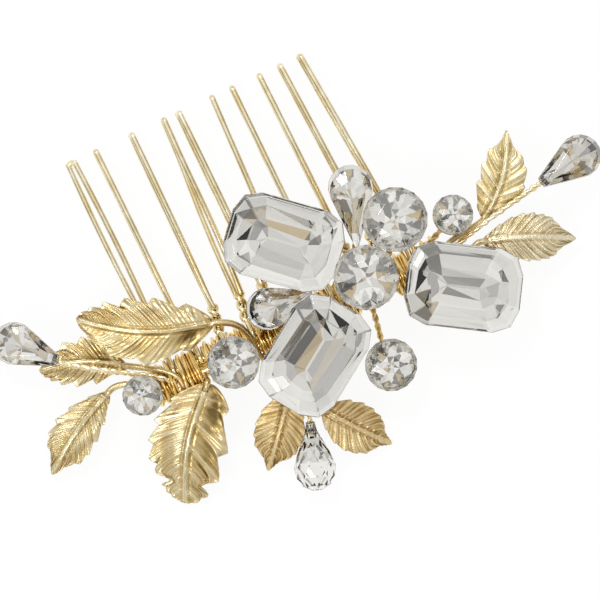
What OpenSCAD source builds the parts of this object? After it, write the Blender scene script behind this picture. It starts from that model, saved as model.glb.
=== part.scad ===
// Bridal hair comb: a wire comb of ten twisted teeth, with a spray of gold leaves and clear crystals
// wired along its spine. Millimetres. X runs along the spine, Y towards the tips of the teeth and
// Z towards the viewer. The origin is the middle of the spine.

/* [Comb] */
// Distance from one tooth to the next along the spine
tooth_pitch = 4.5; // [4.3:0.05:4.8]
// Reach of the teeth from the middle of the spine to their tips
tooth_len = 36.6; // [32:0.1:40]
// Diameter of the wire that the teeth are bent from
tooth_wire_d = 0.9; // [0.8:0.05:0.95]
// Diameter of the rod that the teeth are hooked on
rod_d = 2.4; // [2.2:0.1:2.6]
// Height at which each tooth stops being twisted and opens into its loop
twist_top = 7.2; // [6.6:0.1:9]
// Fall of the tips towards the head
tip_fall = 1.1; // [0.6:0.1:1.4]

/* [Spray] */
// Diameter of the wire that carries the spray in front of the spine
spray_d = 1.6; // [1.4:0.1:1.7]
// Diameter of the stems of the stones and leaves
stem_d = 0.8; // [0.7:0.05:0.85]
// Diameter of the fine wire that binds the spray to the spine
bind_d = 0.5; // [0.4:0.05:0.5]
// Advance of the binding wire in one turn
bind_pitch = 0.95; // [0.93:0.01:0.96]

/* [Crystals] */
// Length of the large step-cut stones
step_l = 18; // [16:0.1:18.2]
// Width of the large step-cut stones
step_w = 13; // [12:0.1:13.2]
// Diameter of the large round stones
round_l = 10.1; // [9:0.1:10.2]
// Diameter of the middle round stones
round_m = 8.2; // [7:0.1:8.4]
// Diameter of the small round stones
round_s = 6.3; // [5.5:0.1:6.5]
// Width of the drop stones
drop_w = 6.6; // [5.5:0.1:6.8]

/* [Leaves] */
// Thickness of the leaves
leaf_t = 0.6; // [0.5:0.05:0.8]
// Height of the ribs on the leaves
leaf_rib = 0.28; // [0.1:0.02:0.4]

/* [Fits] */
// Clearance where one wire hooks round another
hook_fit = 0.05; // [0.03:0.01:0.1]
// Clearance between a stone and its cup
cup_fit = 0.08; // [0.05:0.01:0.15]
// Wall of the cups behind the stones
cup_wall = 0.35; // [0.25:0.05:0.5]

/* [Hidden] */
$fn = 48;
GOLD = "#d9bd7c";
WIRE_GOLD = "#cda65a";
CRYSTAL = "#e4e6e6";
TEETH = 10;
tooth_r = tooth_wire_d / 2;
rod_r = rod_d / 2;
stem_r = stem_d / 2;
spray_r = spray_d / 2;
bind_r = bind_d / 2;
tooth_hook_r = rod_r + hook_fit + tooth_r;
stem_hook_r = spray_r + hook_fit + stem_r;
// The spray wire lies in front of the spine, clear of the hooks of the teeth.
spray_off = tooth_hook_r + tooth_r + hook_fit + spray_r;
spray_dir = 127;
spray_y = spray_off * cos(spray_dir);
spray_z = spray_off * sin(spray_dir);
// Every place on the spine where stems hook on: one at each tooth and one past each end.
function place_x(k) = tooth_pitch * (k - (TEETH + 1) / 2);
rod_half = -place_x(0) - 0.55;
spray_half = -place_x(0) + 2.4;

// How each tooth stands: shift at the twist, lean of its tip and turn of its loop.
tooth_set = [-0.2, -0.5, 0.6, 0.6, -0.1, -0.1, 0, 0.5, 0.3, 0.1];
tooth_lean = [-0.6, -0.6, -0.1, 0.9, -0.4, 0.8, -0.4, -0.8, -1.6, -2.5];
tooth_turn = [20, 84, 78, 30, 75, 88, 86, 85, 80, 76];

function unit(v) = v / norm(v);
function mix(a, b, t) = a + (b - a) * t;
function ease(t) = t * t * (3 - 2 * t);
function bezier(a, b, c, d, t) =
    let(u = 1 - t) a * u * u * u + b * 3 * u * u * t + c * 3 * u * t * t + d * t * t * t;

// Wires: a ring of points at each point of a route, turned as little as the route allows.
function heading(p, i) =
    let(n = len(p) - 1) unit(p[min(i + 1, n)] - p[max(i - 1, 0)]);
function carried(p, side, i = 0, out = []) =
    i == len(p)
        ? out
        : let(h = heading(p, i), s = unit(side - (side * h) * h)) carried(p, s, i + 1, concat(out, [s]));
function ring(c, side, up, r, n) =
    [for (k = [0:n - 1]) c + r * (cos(180 - 360 * k / n) * side + sin(180 - 360 * k / n) * up)];
function wire_rings(p, r, n, side) =
    let(s = carried(p, side))
    [for (i = [0:len(p) - 1]) ring(p[i], s[i], cross(heading(p, i), s[i]), r, n)];
function skin_faces(m, n) = concat(
    [for (i = [m - 2:-1:0], k = [0:n - 1]) [i * n + k, i * n + (k + 1) % n, (i + 1) * n + (k + 1) % n]],
    [for (i = [m - 2:-1:0], k = [0:n - 1]) [i * n + k, (i + 1) * n + (k + 1) % n, (i + 1) * n + k]],
    [[for (k = [0:n - 1]) (m - 1) * n + k], [for (k = [n - 1:-1:0]) k]]
);

module skin(rings) {
    polyhedron([for (r = rings) each r], skin_faces(len(rings), len(rings[0])));
}

module wire(p, r, n = 6, side = [1, 0, 0]) {
    skin(wire_rings(p, r, n, side));
}

// Teeth: one wire that hooks over the rod, twists with itself, runs out, turns and comes back.
twist_foot = 2.6;
twist_r = tooth_r + 0.06;
bend_r = 0.6;
bend_y = tooth_len - tooth_r - bend_r;
loop_swell = 0.3;

function tooth_middle(i, y) =
    let(a = ease(max(0, min(1, (y - twist_foot) / (twist_top - twist_foot)))))
    let(b = max(0, (y - twist_top) / (tooth_len - twist_top)))
    [place_x(i + 1) + tooth_set[i] * a + tooth_lean[i] * b, y, -tip_fall * b * b];
function tooth_at(i, y, off, turn) =
    tooth_middle(i, y) + off * [cos(turn), 0, sin(turn)];
function tooth_strand(i, s) = let(total = 540 + tooth_turn[i] - 90) concat(
    [for (a = [100, 72, 45]) [place_x(i + 1), tooth_hook_r * cos(a), s * tooth_hook_r * sin(a)]],
    [for (k = [0:11])
        tooth_at(i, mix(twist_foot, twist_top, k / 11), s * twist_r, 90 + total * k / 11)],
    [for (t = [0.2:0.2:0.85])
        tooth_at(i, mix(twist_top, bend_y, t), s * (mix(twist_r, bend_r, t) + loop_swell * sin(180 * t)),
            90 + total)]
);
function tooth_bend(i) = [for (a = [0:30:180])
    tooth_at(i, bend_y + bend_r * sin(a), bend_r * cos(a), 540 + tooth_turn[i])];
function backwards(p) = [for (i = [len(p) - 1:-1:0]) p[i]];

module tooth(i) {
    wire(concat(tooth_strand(i, 1), tooth_bend(i), backwards(tooth_strand(i, -1))), tooth_r);
}

// Binding: turns round the spine rod and the spray wire together, three between one tooth and the
// next, crossing each tooth on the side away from it.
turns_in_gap = 3;
bind_back = (rod_r + hook_fit + bind_r) / cos(20);
bind_front = (spray_r + hook_fit + bind_r) / cos(21);
bind_open = acos((bind_back - bind_front) / spray_off);
bind_from = spray_dir + bind_open;
bind_first = (tooth_pitch - bind_pitch * (turns_in_gap - 1 + 16 / 11)) / 2;

function bind_turn(x) = concat(
    [for (k = [0:5]) let(a = bind_from + (360 - 2 * bind_open) * k / 5)
        [x + bind_pitch * k / 11, bind_back * cos(a), bind_back * sin(a)]],
    [for (k = [0:4]) let(a = spray_dir - bind_open + 2 * bind_open * k / 4)
        [x + bind_pitch * (k + 6) / 11, spray_y + bind_front * cos(a), spray_z + bind_front * sin(a)]]
);
function binding(from, to) = [for (g = [from:to], t = [0:turns_in_gap - 1])
    each bind_turn(place_x(g) + bind_first + bind_pitch * t)];
function own_gap(p, apart) = min([
    for (i = [0:len(p) - apart - 1])
        for (j = [i + apart:min(i + 3 * apart, len(p) - 1)]) norm(p[i] - p[j])
]) - bind_d;

binding_left_route = binding(0, 5);
binding_right_route = binding(6, 10);
echo("left binding, least gap to itself", own_gap(binding_left_route, 6));
echo("right binding, least gap to itself", own_gap(binding_right_route, 6));

// Stems: a hook round the spray wire and a run from it to a stone or leaf. A stem sits left or right
// of its place, and leaves towards the teeth or away from them.
stem_apart = stem_r + hook_fit;

function stem_x(place, side) = place_x(place) + side * stem_apart;
function hook_at(x, a) = [x, spray_y + stem_hook_r * cos(a), spray_z + stem_hook_r * sin(a)];
function stem_hook(x, out) =
    [for (k = [0:3]) hook_at(x, out > 0 ? mix(165, 95, k / 3) : mix(85, 125, k / 3))];
function stem_run(from, out, to, arrive, swing, n, leave) =
    let(start = min(leave, 0.45 * norm(to - from)) * [0, out, out > 0 ? 0.1 : -0.2])
    [for (k = [1:n]) bezier(from, from + start, to - arrive * swing, to, k / n)];
function stem(place, side, out, to, arrive, swing, n = 7, leave = 2.2) =
    let(h = stem_hook(stem_x(place, side), out))
    concat(h, stem_run(h[3], out, to, arrive, swing, n, leave));

// Stones: each has a place, a tilt of its face and a turn about its own axis.
function face(tilt) = unit([tilt.x, tilt.y, 1]);
function along(tilt, turn) =
    let(d = [cos(turn), sin(turn), 0], n = face(tilt)) unit(d - (d * n) * n);

module seat(pos, tilt, turn) {
    n = face(tilt);
    u = along(tilt, turn);
    v = cross(n, u);
    multmatrix([[u.x, v.x, n.x, pos.x], [u.y, v.y, n.y, pos.y], [u.z, v.z, n.z, pos.z], [0, 0, 0, 1]])
        children();
}

module cut_stone(points) {
    hull() polyhedron(points, [[for (i = [0:len(points) - 1]) i]]);
}

// Outlines at one height: an octagon with cut corners, a round of flats and a drop.
function octagon(l, w, c, z) = [for (s = [[1, 1], [-1, 1], [-1, -1], [1, -1]])
    each [[s.x * l / 2, s.y * (w / 2 - c), z], [s.x * (l / 2 - c), s.y * w / 2, z]]];
function flats(r, n, from, z) =
    [for (k = [0:n - 1]) [r * cos(from + 360 * k / n), r * sin(from + 360 * k / n), z]];
function drop(r, reach, k, z) =
    let(open = acos(r / reach), mid = reach * 0.2)
    [for (i = [0:11]) let(a = open + (360 - 2 * open) * i / 11)
        [mid + k * (r * cos(a) - mid), k * r * sin(a), z]];
function drop_point(reach, k, half, z) =
    let(mid = reach * 0.2)
    [for (s = [-1, 1]) [mid + k * (reach - mid), s * half, z]];

// Step-cut stone: a table, two rows of steps above the girdle and three below it.
step_corner = 2.7;
step_pav = 4.1;

module step_stone() {
    cut_stone(concat(
        octagon(step_l - 6.6, step_w - 6.4, step_corner - 1.1, 2.2),
        octagon(step_l - 2.6, step_w - 2.5, step_corner - 0.4, 1.4),
        octagon(step_l, step_w, step_corner, 0.3),
        octagon(step_l, step_w, step_corner, -0.3),
        octagon(step_l - 3.4, step_w - 3.4, step_corner - 0.6, -1.7),
        octagon(step_l - 7.6, step_w - 7.6, step_corner - 1.5, -3.1),
        [[(step_l - step_w) / 2, 0, -step_pav], [(step_w - step_l) / 2, 0, -step_pav]]
    ));
}

module step_cup() {
    g = 2 * cup_fit;
    difference() {
        cut_stone(concat(
            octagon(step_l - 2.2, step_w - 2.2, step_corner - 0.4, -1.3),
            octagon(step_l - 6.6, step_w - 6.6, step_corner - 1.3, -3.5),
            octagon(step_l - step_w + 2.4, 2.4, 0.8, -step_pav - 0.6)
        ));
        cut_stone(concat(
            octagon(step_l - 2.3 + g, step_w - 2.3 + g, step_corner - 0.3, -1.2),
            octagon(step_l - 3.4 + g, step_w - 3.4 + g, step_corner - 0.6, -1.7),
            octagon(step_l - 7.6 + g, step_w - 7.6 + g, step_corner - 1.5, -3.1),
            octagon(step_l - step_w + g, g, g / 4, -step_pav - cup_fit / 2)
        ));
    }
}

// Round brilliant: a table, a star of crown facets, a girdle and a cone of pavilion facets.
function round_pav(d) = 0.41 * d;

module round_stone(d) {
    r = d / 2;
    cut_stone(concat(
        flats(0.55 * r, 8, 0, 0.34 * r),
        flats(0.79 * r, 8, 22.5, 0.22 * r),
        flats(r, 16, 0, 0.04 * r),
        flats(r, 16, 0, -0.04 * r),
        flats(0.42 * r, 8, 0, -0.56 * r),
        [[0, 0, -round_pav(d)]]
    ));
}

module round_cup(d) {
    r = d / 2;
    p = round_pav(d);
    top = -0.2 * p;
    rotate_extrude()
        polygon([
            [0, -p - cup_fit],
            [0.42 * r + cup_fit, -0.56 * r],
            [0.86 * r + cup_fit, top],
            [0.86 * r + cup_fit + cup_wall, top],
            [0.44 * r + cup_fit + cup_wall, -0.62 * r],
            [0.16 * r + cup_wall, -p - cup_fit - 0.4],
            [0, -p - cup_fit - 0.4]
        ]);
}

// Drop stone: a table, a ring of crown facets, a girdle and a shallow pavilion. Its point is at +X.
drop_pav = 2.4;

module drop_stone(w, reach, tip) {
    r = w / 2;
    cut_stone(concat(
        drop(r, reach, 0.5, 1.5),
        drop_point(reach, 0.56, 0.05, 1.5),
        drop(r, reach, 0.82, 0.95),
        drop_point(reach, 0.86, tip * 0.7, 0.95),
        drop(r, reach, 1, 0.2),
        drop_point(reach, 1, tip, 0.2),
        drop(r, reach, 1, -0.2),
        drop_point(reach, 1, tip, -0.2),
        drop(r, reach, 0.62, -1.6),
        drop_point(reach, 0.8, tip * 0.5, -1.2),
        drop(r, reach, 0.12, -drop_pav)
    ));
}

module drop_cup(w, reach) {
    r = w / 2;
    difference() {
        cut_stone(concat(
            drop(r + 0.1, reach, 0.88, -0.9),
            drop_point(reach, 0.82, 0.4, -0.9),
            drop(r, reach, 0.3, -drop_pav - 0.6)
        ));
        cut_stone(concat(
            drop(r + cup_fit, reach, 1.02, -0.2),
            drop_point(reach, 1.02, 0.4, -0.2),
            drop(r + cup_fit, reach, 0.64, -1.6),
            drop_point(reach, 0.83, 0.3, -1.2),
            drop(r, reach, 0.15, -drop_pav - cup_fit)
        ));
    }
}

// Drops on a peg: the point is drilled along the stone's length for the end of its stem.
peg_in = 1.7;

module drilled(reach) {
    difference() {
        children();
        translate([reach - peg_in - 0.1, 0, 0]) rotate([0, 90, 0]) cylinder(r = stem_r + hook_fit, h = 4);
    }
}

// Cup with its soldered stem: the stem runs a little way into the floor of the cup.
module stem_to_cup(pos, tilt, deep, place, side, out) {
    n = face(tilt);
    wire(stem(place, side, out, pos - n * deep, n, 1.2), stem_r);
}

// Leaf: a stem that opens into a blade. Rows of points follow the side ribs from the midrib to the
// points of the edge and the notches between them.
blade_t = [-1, -0.58, -0.2, 0, 0.2, 0.58, 1];
back_t = [1, 0.55, 0, -0.55, -1];

// The blade bows to one side, and its widest place is nearer the stem or nearer the tip.
function blade_half(s, wide) = pow(max(0, sin(180 * pow(s, wide))), 0.82);
function blade_point(base, tip, w, up, side, arch, fold, bow, wide, notched, s, t, low) =
    let(a = abs(t), sl = min(1, s + 0.13 * a * sin(180 * s)))
    let(half = max(0.25, w / 2 * blade_half(sl, wide) * (notched ? 0.9 : 1)))
    let(rib = a < 0.05 ? leaf_rib * 1.4 : (notched ? -1 : 1) * leaf_rib * 0.5 * sin(180 * a))
    mix(base, tip, sl) + side * (half * t + bow * sin(180 * sl))
        + up * (arch * 4 * sl * (1 - sl) - fold * half * a * a + (low ? -leaf_t : rib * sin(180 * s)));
function blade(base, tip, w, roll, arch, fold, bow, wide, points) =
    let(d = unit(tip - base), flat = unit(cross([0, 0, 1], d)), rise = cross(d, flat))
    let(up = rise * cos(roll) + flat * sin(roll), side = cross(up, d))
    [for (i = [1:2 * points]) let(s = i / (2 * points), n = i % 2 == 0)
        concat(
            [for (t = blade_t)
                blade_point(base, tip, w, up, side, arch, fold, bow, wide, n, s, -t, false)],
            [for (t = back_t)
                blade_point(base, tip, w, up, side, arch, fold, bow, wide, n, s, -t, true)]
        )];

module leaf(
    place, side, out, base, tip, w,
    roll = 0, arch = 1.2, fold = 0.1, bow = 0, wide = 1, points = 7, share = 0.3, leave = 2.2
) {
    d = unit(tip - base);
    flat = unit(cross([0, 0, 1], d));
    across = flat * cos(roll) - cross(d, flat) * sin(roll);
    rise = unit(d + (cross(d, flat) * arch * 2 + across * bow * 2.4) / norm(tip - base));
    swing = share * norm(base - hook_at(stem_x(place, side), 90));
    route = backwards(stem(place, side, out, base, rise, swing, 6, leave));
    skin(concat(
        backwards(blade(base, tip, w, roll, arch, fold, bow, wide, points)),
        wire_rings(route, stem_r, 12, -across)
    ));
}

// Places of the stones.
step_a_pos = [3.5, 11.2, 8.5];
step_a_tilt = [0.06, -0.16];
step_a_turn = -41.5;
step_b_pos = [25.6, -6.7, 7.8];
step_b_tilt = [0.16, -0.08];
step_b_turn = -31.3;
step_c_pos = [0.5, -6.6, 9.7];
step_c_tilt = [-0.02, -0.08];
step_c_turn = 34;
round_1_pos = [20.5, 7.1, 9.4];
round_1_tilt = [0.08, 0.1];
round_2_pos = [12.7, 0.9, 10.8];
round_2_tilt = [-0.04, 0.02];
round_3_pos = [-11.3, -2.3, 8.5];
round_3_tilt = [0.06, -0.1];
round_4_pos = [-26.1, -1, 7.7];
round_4_tilt = [-0.15, -0.1];
round_5_pos = [28.9, 4, 6.4];
round_5_tilt = [0.12, 0.1];
round_6_pos = [10.5, -12.9, 5.4];
round_6_tilt = [0.1, -0.12];
drop_reach = 7.3;
drop_1_pos = [-40.6, 14.6, 3.6];
drop_1_tilt = [-0.12, 0.05];
drop_1_turn = -47;
drop_2_pos = [50.4, 3.9, 4];
drop_2_tilt = [0.1, 0.1];
drop_2_turn = 190;
drop_3_pos = [-6.9, -22.6, 1.4];
drop_3_turn = 71;
drop_4_pos = [-3.1, 2.9, 5.8];
drop_4_tilt = [0.06, 0.02];
drop_4_turn = -4;
drop_5_pos = [16.4, 14.4, 5.2];
drop_5_tilt = [0.02, 0.08];
drop_5_turn = -109;
drop_5_reach = 9.2;

module tooth_01() color(GOLD) tooth(0);
module tooth_02() color(GOLD) tooth(1);
module tooth_03() color(GOLD) tooth(2);
module tooth_04() color(GOLD) tooth(3);
module tooth_05() color(GOLD) tooth(4);
module tooth_06() color(GOLD) tooth(5);
module tooth_07() color(GOLD) tooth(6);
module tooth_08() color(GOLD) tooth(7);
module tooth_09() color(GOLD) tooth(8);
module tooth_10() color(GOLD) tooth(9);

module spine_rod()
    color(GOLD) translate([-rod_half, 0, 0]) rotate([0, 90, 0]) cylinder(r = rod_r, h = 2 * rod_half);

module spray_wire()
    color(GOLD)
        translate([-spray_half, spray_y, spray_z])
            rotate([0, 90, 0]) cylinder(r = spray_r, h = 2 * spray_half);

module left_binding() color(WIRE_GOLD) wire(binding_left_route, bind_r);
module right_binding() color(WIRE_GOLD) wire(binding_right_route, bind_r);

module upper_step_stone() color(CRYSTAL) seat(step_a_pos, step_a_tilt, step_a_turn) step_stone();
module right_step_stone() color(CRYSTAL) seat(step_b_pos, step_b_tilt, step_b_turn) step_stone();
module lower_step_stone() color(CRYSTAL) seat(step_c_pos, step_c_tilt, step_c_turn) step_stone();

module step_setting(pos, tilt, turn, place, side, out) {
    seat(pos, tilt, turn) step_cup();
    stem_to_cup(pos, tilt, step_pav + 0.4, place, side, out);
}

module upper_step_setting() color(GOLD) step_setting(step_a_pos, step_a_tilt, step_a_turn, 6, -1, 1);
module right_step_setting() color(GOLD) step_setting(step_b_pos, step_b_tilt, step_b_turn, 9, 1, -1);
module lower_step_setting() color(GOLD) step_setting(step_c_pos, step_c_tilt, step_c_turn, 5, 1, -1);

module round_setting(pos, tilt, d, place, side, out) {
    seat(pos, tilt, 0) round_cup(d);
    stem_to_cup(pos, tilt, round_pav(d) + 0.3, place, side, out);
}

module top_round_stone() color(CRYSTAL) seat(round_1_pos, round_1_tilt, 8) round_stone(round_l);
module centre_round_stone() color(CRYSTAL) seat(round_2_pos, round_2_tilt, 20) round_stone(round_l);
module left_round_stone() color(CRYSTAL) seat(round_3_pos, round_3_tilt, 3) round_stone(round_m);
module far_left_round_stone() color(CRYSTAL) seat(round_4_pos, round_4_tilt, 14) round_stone(round_s);
module far_right_round_stone() color(CRYSTAL) seat(round_5_pos, round_5_tilt, 30) round_stone(round_s);
module low_round_stone() color(CRYSTAL) seat(round_6_pos, round_6_tilt, 11) round_stone(round_m);

module top_round_setting() color(GOLD) round_setting(round_1_pos, round_1_tilt, round_l, 9, -1, 1);
module centre_round_setting() color(GOLD) round_setting(round_2_pos, round_2_tilt, round_l, 7, 1, 1);
module left_round_setting() color(GOLD) round_setting(round_3_pos, round_3_tilt, round_m, 3, -1, 1);
module far_left_round_setting() color(GOLD) round_setting(round_4_pos, round_4_tilt, round_s, 0, -1, -1);
module far_right_round_setting() color(GOLD) round_setting(round_5_pos, round_5_tilt, round_s, 10, -1, 1);
module low_round_setting() color(GOLD) round_setting(round_6_pos, round_6_tilt, round_m, 8, 1, -1);

module left_end_drop()
    color(CRYSTAL)
        seat(drop_1_pos, drop_1_tilt, drop_1_turn)
            drilled(drop_reach) drop_stone(drop_w, drop_reach, 0.8);

module right_end_drop()
    color(CRYSTAL)
        seat(drop_2_pos, drop_2_tilt, drop_2_turn)
            drilled(drop_reach) drop_stone(drop_w, drop_reach, 0.8);

// The hanging drop is full all round, with a drawn-out neck.
hanging_neck = 7.4;
hanging_profile = [
    [hanging_neck, 0.85], [6, 1.05], [4.4, 1.7], [2.6, 2.65],
    [0.6, 3.25], [-1.2, 3.05], [-2.5, 2.1], [-3.2, 0.8]
];

module hanging_drop()
    color(CRYSTAL)
        seat(drop_3_pos, [0, 0], drop_3_turn)
            drilled(hanging_neck)
                skin([for (q = hanging_profile) ring([q.x, 0, 0], [0, -1, 0], [0, 0, 1], q.y, 10)]);

module tucked_drop_stone()
    color(CRYSTAL) seat(drop_4_pos, drop_4_tilt, drop_4_turn) drop_stone(drop_w, drop_reach, 0.3);

module top_drop_stone()
    color(CRYSTAL) seat(drop_5_pos, drop_5_tilt, drop_5_turn) drop_stone(drop_w + 0.4, drop_5_reach, 0.3);

module drop_stem(pos, tilt, turn, reach, place, side, out, swing = 4, leave = 2.2) {
    u = along(tilt, turn);
    entry = pos + u * (reach + 0.4);
    wire(concat(stem(place, side, out, entry, -u, swing, 8, leave), [pos + u * (reach - peg_in)]), stem_r);
}

module left_end_drop_stem()
    color(GOLD) drop_stem(drop_1_pos, drop_1_tilt, drop_1_turn, drop_reach, 1, -1, 1);

module right_end_drop_stem()
    color(GOLD) drop_stem(drop_2_pos, drop_2_tilt, drop_2_turn, drop_reach, 11, 1, 1, swing = 8, leave = 1.6);

module hanging_drop_stem()
    color(GOLD) drop_stem(drop_3_pos, [0, 0], drop_3_turn, hanging_neck, 5, -1, -1);

module drop_setting(pos, tilt, turn, w, reach, place, side, out) {
    seat(pos, tilt, turn) drop_cup(w, reach);
    stem_to_cup(pos, tilt, drop_pav + 0.4, place, side, out);
}

module tucked_drop_setting()
    color(GOLD) drop_setting(drop_4_pos, drop_4_tilt, drop_4_turn, drop_w, drop_reach, 4, 1, 1);

module top_drop_setting()
    color(GOLD) drop_setting(drop_5_pos, drop_5_tilt, drop_5_turn, drop_w + 0.4, drop_5_reach, 8, -1, 1);

module spine_leaf()
    color(GOLD)
        leaf(3, 1, 1, [-11.4, 4.4, 5.2], [-30.5, 13.9, 3.6], 10.7, roll = 4, bow = 1.5, points = 9);

module left_upper_leaf()
    color(GOLD)
        leaf(1, 1, 1, [-26.2, 4, 1.9], [-39, 9.2, 0.5], 7.8, roll = -6, arch = 0.8, bow = -1, wide = 1.1);

module left_lower_leaf()
    color(GOLD)
        leaf(0, 1, 1, [-30.4, 1.8, 2.7], [-44, -6.1, 0.2], 6.9, roll = 6, bow = -0.75, wide = 1.3);

module large_low_leaf()
    color(GOLD)
        leaf(
            2, -1, -1, [-16.4, -3.6, 4.5], [-26.7, -19.1, -1.5], 12.6,
            roll = -5, arch = 1.8, bow = -0.8, wide = 1.3, points = 9
        );

module low_left_leaf()
    color(GOLD) leaf(4, -1, -1, [-5.7, -9.6, 2.6], [-14, -19.5, -1.5], 8, roll = -4, bow = 0.25);

module low_right_leaf()
    color(GOLD) leaf(6, 1, -1, [-1.9, -14.6, 2.2], [5.5, -24, -1.5], 8, roll = 4, bow = -0.3, wide = 0.9);

module right_upper_leaf()
    color(GOLD)
        leaf(
            11, -1, 1, [32.9, 1.35, 3.2], [41.9, 12.3, 3.6], 7.6,
            roll = 5, bow = -1.3, wide = 0.95, share = 0.15, leave = 3.4
        );

module right_lower_leaf()
    color(GOLD) leaf(11, 4, -1, [31, -1.6, 2.4], [44.5, -7.6, 1], 7.7, roll = 4, bow = 0.45, wide = 1.1);

tooth_01();
tooth_02();
tooth_03();
tooth_04();
tooth_05();
tooth_06();
tooth_07();
tooth_08();
tooth_09();
tooth_10();
spine_rod();
spray_wire();
left_binding();
right_binding();
upper_step_stone();
right_step_stone();
lower_step_stone();
upper_step_setting();
right_step_setting();
lower_step_setting();
top_round_stone();
centre_round_stone();
left_round_stone();
far_left_round_stone();
far_right_round_stone();
low_round_stone();
top_round_setting();
centre_round_setting();
left_round_setting();
far_left_round_setting();
far_right_round_setting();
low_round_setting();
left_end_drop();
right_end_drop();
hanging_drop();
tucked_drop_stone();
top_drop_stone();
left_end_drop_stem();
right_end_drop_stem();
hanging_drop_stem();
tucked_drop_setting();
top_drop_setting();
spine_leaf();
left_upper_leaf();
left_lower_leaf();
large_low_leaf();
low_left_leaf();
low_right_leaf();
right_upper_leaf();
right_lower_leaf();
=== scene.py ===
import math

import bmesh
import bpy
from mathutils import Matrix, Vector, noise


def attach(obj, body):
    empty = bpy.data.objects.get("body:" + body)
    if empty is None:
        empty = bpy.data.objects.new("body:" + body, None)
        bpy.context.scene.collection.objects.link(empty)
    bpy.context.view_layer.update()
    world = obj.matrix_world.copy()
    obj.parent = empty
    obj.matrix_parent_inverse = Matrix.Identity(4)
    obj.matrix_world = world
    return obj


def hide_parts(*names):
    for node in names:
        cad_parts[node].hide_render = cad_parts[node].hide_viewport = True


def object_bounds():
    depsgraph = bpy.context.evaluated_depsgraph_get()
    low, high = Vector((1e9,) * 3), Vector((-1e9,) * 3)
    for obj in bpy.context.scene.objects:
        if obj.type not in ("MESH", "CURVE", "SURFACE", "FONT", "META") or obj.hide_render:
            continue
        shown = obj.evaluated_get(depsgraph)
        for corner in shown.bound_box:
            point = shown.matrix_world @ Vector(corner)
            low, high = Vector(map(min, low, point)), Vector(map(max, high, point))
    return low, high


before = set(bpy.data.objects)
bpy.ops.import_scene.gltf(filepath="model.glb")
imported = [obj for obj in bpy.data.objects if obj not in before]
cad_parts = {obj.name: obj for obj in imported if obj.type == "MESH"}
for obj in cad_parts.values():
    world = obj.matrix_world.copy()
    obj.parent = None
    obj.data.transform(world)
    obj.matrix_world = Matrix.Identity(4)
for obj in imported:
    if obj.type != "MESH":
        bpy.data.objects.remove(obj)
cad_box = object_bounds()

# Sizes and places of the comb, in millimetres. Most are the part's own; stems, stones and leaves are fuller.
MM = 0.001
TOOTH_PITCH = 4.5
TOOTH_LEN = 36.6
TOOTH_R = 0.45
ROD_R = 1.2
SPRAY_R = 0.8
STEM_R = 0.4
TWIST_STEM_R = 0.54
SETTING_LAY, DROP_LAY = 2.9, 3.0
BIND_R = 0.25
HOOK_FIT = 0.05
TWIST_FOOT = 2.6
TWIST_TOP = 7.2
TIP_FALL = 1.1
TWIST_R = TOOTH_R + 0.06
BEND_R = 0.6
BEND_Y = TOOTH_LEN - TOOTH_R - BEND_R
LOOP_SWELL = 0.3
TOOTH_HOOK_R = ROD_R + HOOK_FIT + TOOTH_R
STEM_HOOK_R = SPRAY_R + HOOK_FIT + STEM_R
STEM_APART = STEM_R + HOOK_FIT
SPRAY_OFF = TOOTH_HOOK_R + TOOTH_R + HOOK_FIT + SPRAY_R
SPRAY_DIR = math.radians(127)
SPRAY_Y = SPRAY_OFF * math.cos(SPRAY_DIR)
SPRAY_Z = SPRAY_OFF * math.sin(SPRAY_DIR)
LEAF_T = 0.6
ANY_SIDE = Vector((0.31, 0.52, 0.8))

# For each tooth: how far it stands off its place, how far its tip leans, how its loop is turned at the
# root, and how much further at the tip.
TOOTH_SET = (-0.2, -0.5, 0.6, 0.6, -0.1, -0.1, 0, 0.5, 0.3, 0.1)
TOOTH_LEAN = (-0.6, -0.6, -0.1, 0.9, -0.4, 0.8, -0.4, -0.8, -1.6, -2.5)
TOOTH_TURN = (20, 84, 78, 30, 75, 88, 86, 85, 80, 76)
TIP_TURN = (0, 0, 0, 52, 0, 0, 0, 0, 0, 0)


def mix(a, b, t):
    return a + (b - a) * t


def clamp(v, low=0.0, high=1.0):
    return max(low, min(high, v))


def ease(t):
    t = clamp(t)
    return t * t * (3 - 2 * t)


def bezier(a, b, c, d, t):
    u = 1 - t
    return a * (u * u * u) + b * (3 * u * u * t) + c * (3 * u * t * t) + d * (t * t * t)


def smooth_route(points, steps):
    """A route through all the points, with no corners."""
    points = [Vector(p) for p in points]
    last = len(points) - 1
    route = []
    for i in range(last):
        a, b, c, d = points[max(i - 1, 0)], points[i], points[i + 1], points[min(i + 2, last)]
        for k in range(steps):
            t = k / steps
            route.append(
                b + (c - a) * (0.5 * t)
                + (2 * a - 5 * b + 4 * c - d) * (0.5 * t * t)
                + (3 * b - a - 3 * c + d) * (0.5 * t * t * t)
            )
    return route + [points[-1]]


def carried(route, side):
    """Heading, side and up at each point of a route, turned as little as the route allows."""
    last = len(route) - 1
    out = []
    for i in range(last + 1):
        head = (route[min(i + 1, last)] - route[max(i - 1, 0)]).normalized()
        side = (side - side.dot(head) * head).normalized()
        out.append((head, side, head.cross(side)))
    return out


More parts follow.
